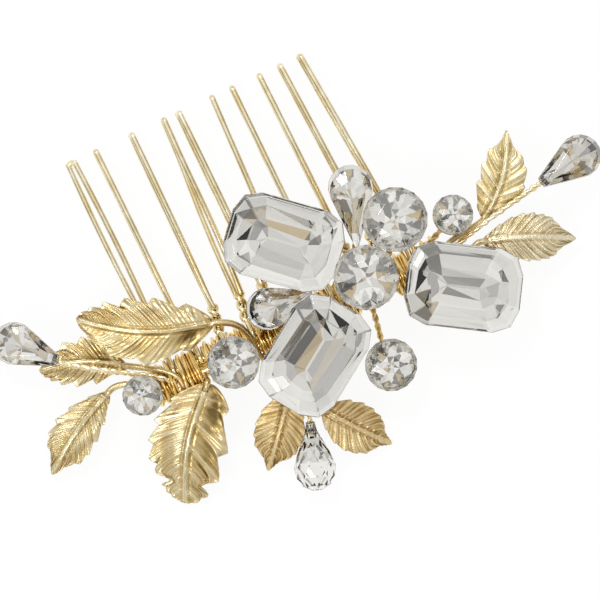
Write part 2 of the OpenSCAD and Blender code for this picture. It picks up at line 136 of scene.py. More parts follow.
# Shader values.
class Shade:
    """A value in a node tree. Arithmetic on it adds Math nodes."""

    def __init__(self, tree, socket=None):
        self.tree = tree
        self.socket = socket

    def node(self, kind, settings=None, inputs=None, out=0):
        made = self.tree.nodes.new(kind)
        for key, value in (settings or {}).items():
            if key == "stops":
                ramp = made.color_ramp
                while len(ramp.elements) < len(value):
                    ramp.elements.new(1.0)
                for element, (place, colour) in zip(ramp.elements, value):
                    element.position = place
                    element.color = colour
            else:
                setattr(made, key, value)
        for key, value in (inputs or {}).items():
            socket = made.inputs[key]
            if isinstance(value, Shade):
                self.tree.links.new(value.socket, socket)
            else:
                socket.default_value = value
        return Shade(self.tree, made.outputs[out] if made.outputs else None)

    def math(self, operation, *values):
        return self.node("ShaderNodeMath", {"operation": operation}, dict(enumerate(values)))

    def __add__(self, other):
        return self.math("ADD", self, other)

    def __radd__(self, other):
        return self.math("ADD", other, self)

    def __sub__(self, other):
        return self.math("SUBTRACT", self, other)

    def __rsub__(self, other):
        return self.math("SUBTRACT", other, self)

    def __mul__(self, other):
        return self.math("MULTIPLY", self, other)

    def __rmul__(self, other):
        return self.math("MULTIPLY", other, self)

    def ramp(self, low, high):
        """0 below low, 1 above high, smooth in between."""
        return self.node(
            "ShaderNodeMapRange",
            {"interpolation_type": "SMOOTHSTEP"},
            {"Value": self, "From Min": low, "From Max": high},
        )

    def tint(self, low, high):
        """One colour at 0, the other at 1."""
        return self.node(
            "ShaderNodeMix",
            {"data_type": "RGBA"},
            {"Factor": self, 6: (*low, 1), 7: (*high, 1)},
            out=2,
        )


def new_finish(name):
    finish = bpy.data.materials.new(name)
    finish.use_nodes = True
    finish.node_tree.nodes.clear()
    return finish, Shade(finish.node_tree)


def surface(paint, inputs):
    shader = paint.node("ShaderNodeBsdfPrincipled", None, inputs)
    paint.node("ShaderNodeOutputMaterial", None, {"Surface": shader})


def mesh_value(paint, name):
    """A value that the piece's own mesh carries."""
    return paint.node("ShaderNodeAttribute", {"attribute_name": name}, None, out="Fac")


def grain(paint, scale, detail=3.0):
    place = paint.node("ShaderNodeTexCoord", None, None, out="Object")
    return paint.node(
        "ShaderNodeTexNoise", None, {"Vector": place, "Scale": scale, "Detail": detail, "Roughness": 0.6}
    )


def gold_finish(name, deep, pale, smooth, dull, tooth_scale, tooth_depth, relief=False):
    """Plated gold: its colour drifts between two tones, its gloss is uneven and its skin has a fine tooth.

    Where the piece carries its relief shade, its colour is painted light and shade: down to a brown painted
    shade of the same gold in the creases, up to the pale tone as a painted highlight on the ridges.
    """
    finish, paint = new_finish(name)
    drift = grain(paint, 190.0).ramp(0.35, 0.68)
    skin = grain(paint, tooth_scale, 4.0)
    gloss = grain(paint, 520.0).ramp(0.3, 0.75)
    if relief:
        # Painted light and shade: the value that each point of the leaf carries picks a colour from the
        # brown painted shade of the creases through the deep tone to the pale painted highlight.
        height = mesh_value(paint, "relief")
        crease_shade = tuple(0.42 * c ** 1.15 for c in deep)
        stops = ((0.0, (*crease_shade, 1)), (0.34, (*deep, 1)), (0.9, (*pale, 1)))
        colour = paint.node(
            "ShaderNodeValToRGB", {"stops": stops}, {"Fac": drift * 0.24 + height * 0.8}
        )
        gloss = gloss * 0.55 + (1 - height) * 0.45
    else:
        colour = drift.tint(deep, pale)
    bump = paint.node(
        "ShaderNodeBump", None, {"Strength": tooth_depth, "Distance": 0.12 * MM, "Height": skin}
    )
    surface(paint, {
        "Base Color": colour,
        "Metallic": 1.0,
        "Roughness": gloss * (dull - smooth) + smooth,
        "Normal": bump,
    })
    return finish


# For each finish: deep and pale tone, smoothest and dullest gloss, scale and depth of the fine tooth. On the
# leaves the deep tone is also the painted shade, and the pale tone the painted highlight, of their relief.
leaf_gold = gold_finish(
    "leaf_gold", (0.52, 0.375, 0.155), (0.71, 0.61, 0.38), 0.21, 0.38, 2600.0, 0.25, relief=True
)
satin_gold = gold_finish(
    "satin_leaf_gold", (0.44, 0.29, 0.10), (0.71, 0.56, 0.31), 0.28, 0.44, 3800.0, 0.5, relief=True
)
matt_gold = gold_finish(
    "matt_leaf_gold", (0.56, 0.45, 0.25), (0.83, 0.75, 0.55), 0.28, 0.44, 2400.0, 1.0, relief=True
)
pale_gold = gold_finish(
    "pale_leaf_gold", (0.55, 0.42, 0.19), (0.77, 0.69, 0.47), 0.30, 0.44, 3000.0, 0.4, relief=True
)
wire_gold = gold_finish(
    "wire_gold", (0.80, 0.66, 0.38), (0.95, 0.88, 0.66), 0.14, 0.26, 1800.0, 0.05
)
winding_gold = gold_finish(
    "winding_gold", (0.80, 0.54, 0.17), (0.97, 0.78, 0.38), 0.20, 0.34, 2000.0, 0.2
)
cup_gold = gold_finish(
    "cup_gold", (0.62, 0.45, 0.18), (0.78, 0.63, 0.34), 0.20, 0.36, 2200.0, 0.2
)


def crystal_finish():
    finish, paint = new_finish("clear_crystal")
    polish = grain(paint, 300.0).ramp(0.2, 0.9)
    surface(paint, {
        "Base Color": grain(paint, 90.0).tint((0.985, 0.985, 0.98), (1.0, 1.0, 1.0)),
        "Roughness": polish * 0.012,
        "IOR": 1.56,
        "Transmission Weight": 1.0,
    })
    return finish


def foil_finish():
    """The backing of the stones: silvered facets, each given its own tone as a painted reflection from dark
    to white; one step of the tones is the gold-brown of the lacquer.
    """
    finish, paint = new_finish("stone_foil")
    facet = mesh_value(paint, "facet")
    rim = mesh_value(paint, "rim")
    # Tones of painted reflection, from dark grey to white, with the gold-brown of the lacquer at 0.3.
    tones = (
        (0.0, (0.22, 0.22, 0.21, 1)),
        (0.16, (0.40, 0.39, 0.37, 1)),
        (0.23, (0.51, 0.505, 0.49, 1)),
        (0.3, (0.56, 0.46, 0.30, 1)),
        (0.42, (0.60, 0.59, 0.555, 1)),
        (0.7, (0.76, 0.745, 0.70, 1)),
        (1.0, (0.97, 0.955, 0.91, 1)),
    )
    place = facet + grain(paint, 260.0) * 0.04 - 0.02
    surface(paint, {
        "Base Color": paint.node("ShaderNodeValToRGB", {"stops": tones}, {"Fac": place}),
        "Metallic": 1.0,
        "Roughness": grain(paint, 700.0) * 0.05 + rim * 0.24,
    })
    return finish


crystal = crystal_finish()
foil = foil_finish()


# Making pieces.
def keep_piece(name, bm, finishes, nodes, smooth=True):
    """Turns a finished bmesh, in millimetres, into a piece that stands for the named nodes."""
    bmesh.ops.scale(bm, vec=(MM, MM, MM), verts=bm.verts)
    for face in bm.faces:
        face.smooth = smooth
    mesh = bpy.data.meshes.new(name)
    bm.to_mesh(mesh)
    bm.free()
    for finish in finishes:
        mesh.materials.append(finish)
    piece = bpy.data.objects.new(name, mesh)
    bpy.context.scene.collection.objects.link(piece)
    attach(piece, "root")
    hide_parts(*nodes)
    return piece


def verts_in(geom):
    return [g for g in geom if isinstance(g, bmesh.types.BMVert)]


def edges_between(geom, verts):
    return [g for g in geom if isinstance(g, bmesh.types.BMEdge) and all(v in verts for v in g.verts)]


def loft(bm, loops):
    """A closed skin over a row of outlines with the same number of points, drawn out from the first."""
    verts = [bm.verts.new(p) for p in loops[0]]
    ring = [bm.edges.new(pair) for pair in zip(verts, verts[1:] + verts[:1])]
    bmesh.ops.edgeloop_fill(bm, edges=ring)
    order = {vert: k for k, vert in enumerate(verts)}
    for loop in loops[1:]:
        drawn = bmesh.ops.extrude_edge_only(bm, edges=ring)["geom"]
        after = {}
        for vert in verts_in(drawn):
            before = (edge.other_vert(vert) for edge in vert.link_edges)
            after[vert] = next(order[v] for v in before if v in order)
            vert.co = loop[after[vert]]
        order = after
        ring = edges_between(drawn, order)
    bmesh.ops.edgeloop_fill(bm, edges=ring)
    bmesh.ops.recalc_face_normals(bm, faces=bm.faces)


def draw_wire(bm, route, radius, sides=10, side=ANY_SIDE, twist=0.0):
    """A round wire, drawn out ring by ring from a disc, each ring turned on by the twist.

    The radius is a number or one for each point.
    """
    radii = radius if isinstance(radius, (list, tuple)) else [radius] * len(route)
    placed = []
    for k, (point, (head, across, up), r) in enumerate(zip(route, carried(route, side), radii)):
        turn = Matrix((across * r, up * r, head * r)).transposed().to_4x4()
        placed.append(Matrix.Translation(point) @ turn @ Matrix.Rotation(twist * k, 4, "Z"))
    disc = bmesh.ops.create_circle(bm, cap_ends=True, radius=1, segments=sides, matrix=placed[0])
    ring = list(dict.fromkeys(edge for vert in disc["verts"] for edge in vert.link_edges))
    made = list(disc["verts"])
    for before, after in zip(placed, placed[1:]):
        drawn = bmesh.ops.extrude_edge_only(bm, edges=ring)["geom"]
        new = verts_in(drawn)
        ring = edges_between(drawn, set(new))
        bmesh.ops.transform(bm, matrix=after @ before.inverted(), verts=new)
        made += new
    bmesh.ops.edgeloop_fill(bm, edges=ring)
    faces = list(dict.fromkeys(face for vert in made for face in vert.link_faces))
    bmesh.ops.recalc_face_normals(bm, faces=faces)


STRAND_R = 0.54
STRAND_OFF = 1 - STRAND_R


def draw_twist(bm, route, radius, lay, sides=8):
    """Two finer wires laid round each other along a route, as thick together as one wire of this radius.

    The lay is the length of a full turn.
    """
    way = carried(route, ANY_SIDE)
    run = [0.0]
    for a, b in zip(route, route[1:]):
        run.append(run[-1] + (b - a).length)
    for half in (0, math.pi):
        strand = []
        for point, (head, across, up), s in zip(route, way, run):
            turn = half + 2 * math.pi * s / lay
            off = across * math.cos(turn) + up * math.sin(turn)
            strand.append(point + off * (radius * STRAND_OFF))
        draw_wire(bm, strand, radius * STRAND_R, sides)


# Teeth.
TEETH = 10
HOOK_ANGLES = (100, 72, 45)
ROOT_TURN = 450
TWIST_POINTS = 12


def place_x(k):
    """Where a tooth stands along the spine. The first is 1, and places between and beyond them count too."""
    return TOOTH_PITCH * (k - (TEETH + 1) / 2)


def tooth_at(i, y, off, turn):
    """A point at this reach of a tooth, off its middle line in the direction of the turn."""
    a = ease((y - TWIST_FOOT) / (TWIST_TOP - TWIST_FOOT))
    b = max(0.0, (y - TWIST_TOP) / (TOOTH_LEN - TWIST_TOP))
    turn = math.radians(turn)
    return Vector((
        place_x(i + 1) + TOOTH_SET[i] * a + TOOTH_LEAN[i] * b + off * math.cos(turn),
        y,
        -TIP_FALL * b * b + off * math.sin(turn),
    ))


def tooth_strand(i, s):
    """Half of a tooth's wire: from its hook over the rod through the twist to the bend."""
    total = ROOT_TURN + TOOTH_TURN[i]
    points = []
    for a in HOOK_ANGLES:
        a = math.radians(a)
        y, z = TOOTH_HOOK_R * math.cos(a), s * TOOTH_HOOK_R * math.sin(a)
        points.append(Vector((place_x(i + 1), y, z)))
    last = TWIST_POINTS - 1
    for k in range(TWIST_POINTS):
        y = mix(TWIST_FOOT, TWIST_TOP, k / last)
        points.append(tooth_at(i, y, s * TWIST_R, 90 + total * k / last))
    for t in (0.2, 0.4, 0.6, 0.8):
        off = mix(TWIST_R, BEND_R, t) + LOOP_SWELL * math.sin(math.pi * t)
        turn = 90 + total + TIP_TURN[i] * ease(t)
        points.append(tooth_at(i, mix(TWIST_TOP, BEND_Y, t), s * off, turn))
    return points


def make_tooth(i):
    bend = []
    turn = 90 + ROOT_TURN + TOOTH_TURN[i] + TIP_TURN[i]
    for a in range(0, 181, 30):
        a = math.radians(a)
        bend.append(tooth_at(i, BEND_Y + BEND_R * math.sin(a), BEND_R * math.cos(a), turn))
    points = tooth_strand(i, 1) + bend + tooth_strand(i, -1)[::-1]
    bm = bmesh.new()
    draw_wire(bm, smooth_route(points, 5), TOOTH_R, 12)
    name = f"tooth_{i + 1:02d}"
    keep_piece("wire_" + name, bm, [wire_gold], [name])


for i in range(TEETH):
    make_tooth(i)


# Binding: close turns round the rod and the spray wire, then loose turns laid over them.
TURN_POINTS = 11
TOOTH_ROOM = 0.6


def bundle_point(x, turn, lift):
    """A point on the outside of the rod and spray wire together, a little above them.

    Of the points of a turn, the first six lie round the rod and the other five round the spray wire.
    """
    back, front = ROD_R + HOOK_FIT + lift, SPRAY_R + HOOK_FIT + lift
    opening = math.acos((back - front) / SPRAY_OFF)
    share = (turn % 1.0) * TURN_POINTS
    if share < 5.5:
        a = SPRAY_DIR + opening + (2 * math.pi - 2 * opening) * clamp(share / 5)
        low = clamp(-math.sin(a))
        back = mix(back, min(back, ROD_R + HOOK_FIT + BIND_R * 2), low)
        return Vector((x, back * math.cos(a), back * math.sin(a)))
    a = SPRAY_DIR - opening + 2 * opening * clamp((share - 6) / 4)
    return Vector((x, SPRAY_Y + front * math.cos(a), SPRAY_Z + front * math.sin(a)))


# Turns in a gap between two teeth, lift, wire, wander and direction of each layer.
BIND_LAYERS = (
    (6, BIND_R, BIND_R, 0.0, 1),
    (5, BIND_R * 2.5, BIND_R, 0.12, 1),
    (3, BIND_R * 4.1, BIND_R * 1.1, 0.26, -1),
)


def make_binding(name, first, last, seed):
    bm = bmesh.new()
    for layer, (turns, lift, wire, loose, way) in enumerate(BIND_LAYERS):
        points = []
        count = turns * TURN_POINTS
        for gap in range(first, last + 1):
            start = place_x(gap) + TOOTH_ROOM
            for k in range(count):
                along = k / (count - 1)
                wander = noise.noise(Vector((gap * 3.1 + along * 6, layer * 7.3, seed)))
                x = start + (TOOTH_PITCH - 2 * TOOTH_ROOM) * clamp(along + wander * loose)
                high = lift + 0.25 * loose + 0.5 * loose * wander
                points.append(bundle_point(x, way * k / TURN_POINTS, high))
        draw_wire(bm, smooth_route(points, 2), wire, 7)
    keep_piece("wound_" + name, bm, [winding_gold], [name])


make_binding("left_binding", 0, 5, 1.7)
make_binding("right_binding", 6, 10, 4.2)
for name in ("spine_rod", "spray_wire"):
    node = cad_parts[name]
    node.data.materials.clear()
    node.data.materials.append(winding_gold)


# Stems.
def hook_at(x, a):
    """A point of a stem's hook round the spray wire."""
    a = math.radians(a)
    return Vector((x, SPRAY_Y + STEM_HOOK_R * math.cos(a), SPRAY_Z + STEM_HOOK_R * math.sin(a)))


def stem_route(hook, to, arrive, swing, leave=2.2):
    """From a hook round the spray wire to the point that the stem carries.

    A hook is its place among the teeth, the side of that place, and the way that the stem leaves.
    """
    place, side, out = hook
    x = place_x(place) + side * STEM_APART
    low, high = (165, 95) if out > 0 else (85, 125)
    points = [hook_at(x, mix(low, high, k / 9)) for k in range(10)]
    start = points[-1]
    off = Vector((0, out, 0.1 if out > 0 else -0.2)) * min(leave, 0.45 * (to - start).length)
    points += [bezier(start, start + off, to - arrive * swing, to, k / 24) for k in range(1, 25)]
    return points


def face_axes(tilt, turn):
    """Length, breadth and outward axes of a stone's face."""
    n = Vector((tilt[0], tilt[1], 1)).normalized()
    d = Vector((math.cos(math.radians(turn)), math.sin(math.radians(turn)), 0))
    u = (d - d.dot(n) * n).normalized()
    return u, n.cross(u), n


def seat(pos, tilt, turn):
    u, v, n = face_axes(tilt, turn)
    return Matrix.Translation(pos) @ Matrix((u, v, n)).transposed().to_4x4()


# Stones.
STEP_L, STEP_W, STEP_CORNER, STEP_PAV = 18.0, 13.0, 2.7, 4.1
ROUND_L, ROUND_M, ROUND_S = 10.1, 8.2, 6.3
DROP_W, DROP_REACH, DROP_PAV = 6.6, 7.3, 2.4
CUP_FIT, CUP_WALL, PEG_IN = 0.08, 0.35, 0.9
ROUND_PAV = 0.41
BODY_SUNK, LACQUER_TONE = 0.12, 0.3
BACK_FACING, CROWN_EDGE = -0.2, 0.05
# Where the edge of a back begins, how wide it is, and how far the painted reflection of its facets is raised
# towards white there.
RIM_START, RIM_WIDE, RIM_PAINTED_HIGHLIGHT = 0.66, 0.26, 0.8
STEP_FLOORS = (-0.35, -0.65, -0.88)


def cut_ring(l, w, corner, z):
    """An oblong whose four corners are cut alike, in order round it.

    The points of a corner are given as what they take off the length and off the width.
    """
    return [
        (x * (l / 2 - a), y * (w / 2 - b), z)
        for x, y in ((1, 1), (-1, 1), (-1, -1), (1, -1))
        for a, b in corner[::x * y]
    ]


def octagon(l, w, c, z):
    return cut_ring(l, w, [(0, c), (c, 0)], z)


def halved_octagon(l, w, c, z):
    """An octagon with a point halfway along each cut corner."""
    return cut_ring(l, w, [(0, c), (c / 2, c / 2), (c, 0)], z)


def cushion(l, w, c, z):
    """An octagon whose cut corners swell a little."""
    return cut_ring(l, w, [(0, 1.4 * c), (0.42 * c, 0.42 * c), (1.4 * c, 0)], z)


def flats(r, n, start, z):
    """Points evenly round a circle."""
    turns = [math.radians(start + 360 * k / n) for k in range(n)]
    return [(r * math.cos(a), r * math.sin(a), z) for a in turns]


DROP_MIDDLE = 0.2


def drop_outline(r, reach, k, z):
    """The round part of a drop, drawn in by k towards a middle on the way to its point."""
    opening, mid = math.acos(r / reach), reach * DROP_MIDDLE
    turns = [opening + (2 * math.pi - 2 * opening) * i / 11 for i in range(12)]
    return [(mid + k * (r * math.cos(a) - mid), k * r * math.sin(a), z) for a in turns]


def drop_point(reach, k, half, z):
    """The blunt point that closes a drop's outline."""
    mid = reach * DROP_MIDDLE
    return [(mid + k * (reach - mid), s * half, z) for s in (-1, 1)]


def hull_of(bm, points):
    """Flat facets stretched over the points."""
    verts = [bm.verts.new(p) for p in points]
    hull = bmesh.ops.convex_hull(bm, input=verts)
    spare = dict.fromkeys(g for key in ("geom_interior", "geom_unused") for g in hull[key])
    bmesh.ops.delete(bm, geom=verts_in(spare), context="VERTS")
    bmesh.ops.dissolve_limit(bm, angle_limit=math.radians(0.6), verts=bm.verts, edges=bm.edges)
    bmesh.ops.recalc_face_normals(bm, faces=bm.faces)


def tones_in_turn(tones, shift=0):
    """Painted reflection tones, light and dark, scattered over the facets of a back."""
    def tone_of(face):
        c = face.calc_center_median()
        turn = math.atan2(c.y, c.x) / math.tau + 0.5 + 7.3 * c.xy.length
        return tones[(int(turn * len(tones) * 3) + shift) % len(tones)]

    return tone_of


def tones_by_side(rings):
    """Painted reflection tones for the rings of a step-cut back, the outer ring first.

    Each ring starts at the right end and goes round by the top.
    """
    def tone_of(face):
        depth = face.calc_center_median().z
        ring = rings[sum(depth < floor for floor in STEP_FLOORS)]
        return ring[round(math.atan2(face.normal.y, face.normal.x) / (math.pi / 4)) % 8]

    return tone_of


def make_stone(node, cut, body, place, tone_of, dull=1.0):
    """A cut stone: clear above and foiled on the facets of its back, with its lacquered body behind them.

    Each foiled facet has a painted reflection tone; towards the edge this painted reflection is brighter,
    and the foil is rubbed as dull as given.
    """
    bm = bmesh.new()
    facet = bm.faces.layers.float.new("facet")
    rim = bm.faces.layers.float.new("rim")
    cut(bm)
    long = max(abs(vert.co.x) for vert in bm.verts)
    broad = max(abs(vert.co.y) for vert in bm.verts)
    for face in bm.faces:
        face.material_index = 1 if face.normal.z < BACK_FACING else 0
        c = face.calc_center_median()
        out = ((c.x / long) ** 4 + (c.y / broad) ** 4) ** 0.25
        edge = ease((out - RIM_START) / RIM_WIDE)
        face[rim] = edge * dull
        # Painted reflection: each facet's tone, raised towards white at the edge.
        face[facet] = mix(tone_of(face), 1.0, edge * RIM_PAINTED_HIGHLIGHT)
    crown = [edge for edge in bm.edges if all(face.material_index == 0 for face in edge.link_faces)]
    bmesh.ops.bevel(
        bm, geom=crown, offset=CROWN_EDGE, offset_type="OFFSET", affect="EDGES", segments=1, profile=0.5,
        material=-1,
    )
    clear = set(bm.faces)
    loft(bm, body)
    for face in bm.faces:
        if face not in clear:
            face.material_index = 1
            face[facet] = LACQUER_TONE
            face[rim] = 1.0
    bmesh.ops.transform(bm, matrix=place, verts=bm.verts)
    keep_piece("cut_" + node, bm, [crystal, foil], [node], smooth=False)


GROUND_OFF = (0.9, 0.8, 0.12)


def uneven(ring, seed, much=1.0):
    """A ring of the back as it was really ground: no two facets quite alike."""
    def off(p):
        return Vector([most * noise.noise(Vector((p[0], p[1], seed + most))) for most in GROUND_OFF])

    return [Vector(p) + much * off(p) for p in ring]


def step_loops(seed):
    """Outlines of a step-cut stone, from its table over the edge to the keel of its back."""
    l, w, c = STEP_L, STEP_W, STEP_CORNER
    return [
        cushion(l - 6.6, w - 6.4, c - 1.1, 2.2),
        cushion(l - 4.4, w - 4.3, c - 0.7, 1.92),
        cushion(l - 2.5, w - 2.4, c - 0.4, 1.62),
        cushion(l - 1.1, w - 1.05, c - 0.2, 1.3),
        cushion(l, w, c, 0.95),
        cushion(l, w, c, -0.2),
        cushion(l - 1.6, w - 1.6, c - 0.2, -0.21),
        uneven(cushion(l - 4.0, w - 4.0, c - 0.7, -0.28), seed + 3),
        uneven(cushion(l - 7.4, w - 7.4, c - 1.5, -0.68), seed + 6),
        uneven(cushion(l - 10.0, w - 10.0, c - 2.2, -0.9), seed + 9),
        cushion(l - 12.6, w - 12.6, 0.1, -1.02),
    ]


def sunk(rings):
    """The rings of a back from the middle outwards, moved just behind it."""
    return [[Vector(p) - Vector((0, 0, BODY_SUNK)) for p in ring] for ring in reversed(rings)]


def step_body(seed):
    """The body of a step-cut stone: its back once more, out to the edge and down to the keel of the cup."""
    l, w, c = STEP_L, STEP_W, STEP_CORNER
    return sunk(step_loops(seed)[6:]) + [
        cushion(l - 0.2, w - 0.2, c, -0.24),
        halved_octagon(l - 3.4, w - 3.4, c - 0.6, -1.7),
        halved_octagon(l - 7.6, w - 7.6, c - 1.5, -3.1),
        halved_octagon(l - w, 0.12, 0.03, -STEP_PAV + 0.02),
    ]


# Rings of a round stone's back: share of the radius, and depth as a share of it.
ROUND_BACK = ((0.84, -0.085), (0.6, -0.147), (0.34, -0.2), (0.14, -0.23))


def round_points(d):
    """Corners of a round stone, from its table to the point of its back."""
    r = d / 2
    (k1, z1), (k2, z2), (k3, z3), (k4, z4) = ROUND_BACK
    return (
        flats(0.54 * r, 8, 0, 0.34 * r)
        + flats(0.8 * r, 8, 22.5, 0.2 * r)
        + flats(r, 16, 0, 0.05 * r)
        + flats(r, 16, 0, -0.03 * r)
        + flats(k1 * r, 16, 11.25, z1 * r)
        + flats(k2 * r, 8, 11, z2 * r)
        + flats(k3 * r, 8, 33.5, z3 * r)
        + flats(k4 * r, 8, 11, z4 * r)
        + [(0, 0, -0.242 * r)]
    )


def round_body(d):
    """The body of a round stone, from behind its back out to the edge and down into the cup."""
    r = d / 2
    return sunk([flats(k * r, 16, 0, z * r) for k, z in ROUND_BACK]) + [
        flats(0.985 * r, 16, 0, -0.03 * r - BODY_SUNK / 2),
        flats(0.42 * r, 16, 0, -0.56 * r),
        flats(0.04 * r, 16, 0, -ROUND_PAV * d + 0.02),
    ]


# Outlines of a drop stone, from its table over the edge to the hollow of its back: share of the outline,
# share of the way to the point, share of the point's width, height.
DROP_RINGS = (
    (0.5, 0.56, 0.1, 1.5),
    (0.82, 0.86, 0.7, 1.12),
    (1.0, 1.0, 1.0, 0.78),
    (1.0, 1.0, 1.0, -0.2),
    (0.86, 0.92, 0.8, -0.22),
    (0.6, 0.7, 0.6, -0.42),
    (0.28, 0.36, 0.4, -0.64),
    (0.06, 0.1, 0.2, -0.73),
)


def drop_loops(w, reach, tip):
    """Outlines of a drop of this width, reach and half width of its point. Two of the back are uneven."""
    loops = []
    for share, along, wide, z in DROP_RINGS:
        loops.append(drop_outline(w / 2, reach, share, z) + drop_point(reach, along, tip * wide, z))
    return loops[:5] + [uneven(ring, w + k, 0.5) for k, ring in enumerate(loops[5:7])] + loops[7:]


def drop_body(w, reach, tip):
    """The body of a drop, from behind its back out to the edge and down into the cup."""
    r, keel = w / 2, -DROP_PAV + 0.02
    return sunk(drop_loops(w, reach, tip)[4:]) + [
        drop_outline(r, reach, 0.985, -0.25) + drop_point(reach, 0.99, tip, -0.25),
        drop_outline(r, reach, 0.62, -1.6) + drop_point(reach, 0.8, tip * 0.5, -1.2),
        drop_outline(r, reach, 0.12, keel) + drop_point(reach, 0.13, 0.05, keel),
    ]


# Settings: a cup with an open top and a stem soldered to its floor.
STEM_SWING = 1.2


def round_cup(bm, d):
    r, p = d / 2, ROUND_PAV * d
    top, floor = -0.2 * p, -p - CUP_FIT - 0.4
    profile = [
        (0.0, floor),
        (0.16 * r + CUP_WALL, floor),
        (0.44 * r + CUP_FIT + CUP_WALL, -0.62 * r),
        (0.86 * r + CUP_FIT + CUP_WALL, top),
        (0.86 * r + CUP_FIT, top),
        (0.42 * r + CUP_FIT, -0.56 * r),
        (0.0, -p - CUP_FIT),
    ]
    verts = [bm.verts.new((x, 0, z)) for x, z in profile]
    edges = [bm.edges.new(pair) for pair in zip(verts, verts[1:])]
    bmesh.ops.spin(
        bm, geom=verts + edges, cent=(0, 0, 0), axis=(0, 0, 1), angle=2 * math.pi, steps=40,
        use_merge=True,
    )
    bmesh.ops.remove_doubles(bm, verts=bm.verts, dist=0.001)
    bmesh.ops.recalc_face_normals(bm, faces=bm.faces)


def make_setting(node, make_cup, pos, tilt, turn, deep, hook):
    bm = bmesh.new()
    make_cup(bm)
    bmesh.ops.transform(bm, matrix=seat(pos, tilt, turn), verts=bm.verts)
    n = face_axes(tilt, turn)[2]
    route = stem_route(hook, Vector(pos) - n * deep, n, STEM_SWING)
    draw_twist(bm, route, TWIST_STEM_R, SETTING_LAY)
    keep_piece("cup_" + node, bm, [cup_gold], [node], smooth=False)


def step_cup(bm):
    g = 2 * CUP_FIT
    loft(bm, [
        octagon(STEP_L - STEP_W + 2.4, 2.4, 0.8, -STEP_PAV - 0.6),
        octagon(STEP_L - 6.6, STEP_W - 6.6, STEP_CORNER - 1.3, -3.5),
        octagon(STEP_L - 2.2, STEP_W - 2.2, STEP_CORNER - 0.4, -1.3),
        octagon(STEP_L - 2.5 + g, STEP_W - 2.5 + g, STEP_CORNER - 0.4, -1.3),
        octagon(STEP_L - 3.4 + g, STEP_W - 3.4 + g, STEP_CORNER - 0.6, -1.7),
        octagon(STEP_L - 7.6 + g, STEP_W - 7.6 + g, STEP_CORNER - 1.5, -3.1),
        octagon(STEP_L - STEP_W + g, g, g / 4, -STEP_PAV - CUP_FIT / 2),
    ])


def drop_cup(w, reach):
    r = w / 2

    def outline(r, k, point, half, z):
        return drop_outline(r, reach, k, z) + drop_point(reach, point, half, z)

    return lambda bm: loft(bm, [
        outline(r, 0.3, 0.3, 0.3, -DROP_PAV - 0.6),
        outline(r + 0.1, 0.88, 0.82, 0.4, -0.9),
        outline(r + CUP_FIT, 0.84, 0.8, 0.35, -0.9),
        outline(r + CUP_FIT, 0.64, 0.66, 0.3, -1.65),
        outline(r, 0.15, 0.15, 0.1, -DROP_PAV - CUP_FIT),
    ])


# Place, tilt and turn of each stone, then what differs from stone to stone, and the hook of its stem.
STEP_STONES = {
    "upper_step": ((3.5, 11.2, 8.5), (0.06, -0.16), -41.5, (6, -1, 1)),
    "right_step": ((25.6, -6.7, 7.8), (0.16, -0.08), -31.3, (9, 1, -1)),
    "lower_step": ((0.5, -6.6, 9.7), (-0.02, -0.08), 34, (5, 1, -1)),
}
ROUND_STONES = {
    "top_round": ((20.5, 7.1, 9.4), (0.08, 0.1), 8, ROUND_L, (9, -1, 1)),
    "centre_round": ((12.7, 0.9, 10.8), (-0.04, 0.02), 20, ROUND_L, (7, 1, 1)),
    "left_round": ((-11.3, -2.3, 8.5), (0.06, -0.1), 3, ROUND_M, (3, -1, 1)),
    "far_left_round": ((-26.1, -1, 7.7), (-0.15, -0.1), 14, ROUND_S, (0, -1, -1)),
    "far_right_round": ((28.9, 4, 6.4), (0.12, 0.1), 30, ROUND_S, (10, -1, 1)),
    "low_round": ((10.5, -12.9, 5.4), (0.1, -0.12), 11, ROUND_M, (8, 1, -1)),
}
SET_DROPS = {
    "tucked_drop": ((-3.1, 2.9, 5.8), (0.06, 0.02), -4, DROP_W, DROP_REACH, (4, 1, 1)),
    "top_drop": ((16.4, 14.4, 5.2), (0.02, 0.08), -109, DROP_W + 0.4, 9.2, (8, -1, 1)),
}
# For the drops on stems, the hook is followed by the swing of the stem and how far it leaves straight.
STEM_DROPS = {
    "left_end_drop": ((-40.6, 14.6, 3.6), (-0.12, 0.05), -47, (1, -1, 1), 4, 2.2),
    "right_end_drop": ((50.4, 3.9, 4), (0.1, 0.1), 190, (11, 1, 1), 8, 1.6),
}

# Painted reflection tone of each facet, for each ring of the back: right end, corner, top side, corner, left
# end, corner, bottom side, corner.
STEP_TONES = {
    "upper_step": (
        (0.9, 0.8, 0.5, 0.1, 0.3, 0.5, 0.9, 0.7),
        (0.6, 0.75, 0.66, 0.36, 0.5, 0.85, 0.5, 0.7),
        (0.72, 0.4, 0.3, 0.62, 0.14, 0.6, 0.46, 0.45),
        (0.5, 0.66, 0.62, 0.5, 0.7, 0.44, 0.54, 0.75),
    ),
    "right_step": (
        (0.4, 0.6, 0.3, 0.6, 0.5, 0.0, 0.6, 0.8),
        (0.55, 0.8, 0.6, 0.45, 0.62, 0.28, 0.76, 0.7),
        (0.23, 0.6, 0.52, 0.3, 0.18, 0.5, 0.7, 0.5),
        (0.6, 0.5, 0.6, 0.62, 0.45, 0.7, 0.66, 0.42),
    ),
    "lower_step": (
        (0.4, 0.3, 0.5, 0.7, 0.8, 0.6, 0.5, 0.3),
        (0.55, 0.5, 0.42, 0.62, 0.8, 0.7, 0.23, 0.45),
        (0.6, 0.3, 0.12, 0.23, 0.7, 0.5, 0.38, 0.6),
        (0.5, 0.62, 0.3, 0.14, 0.7, 0.6, 0.24, 0.5),
    ),
}
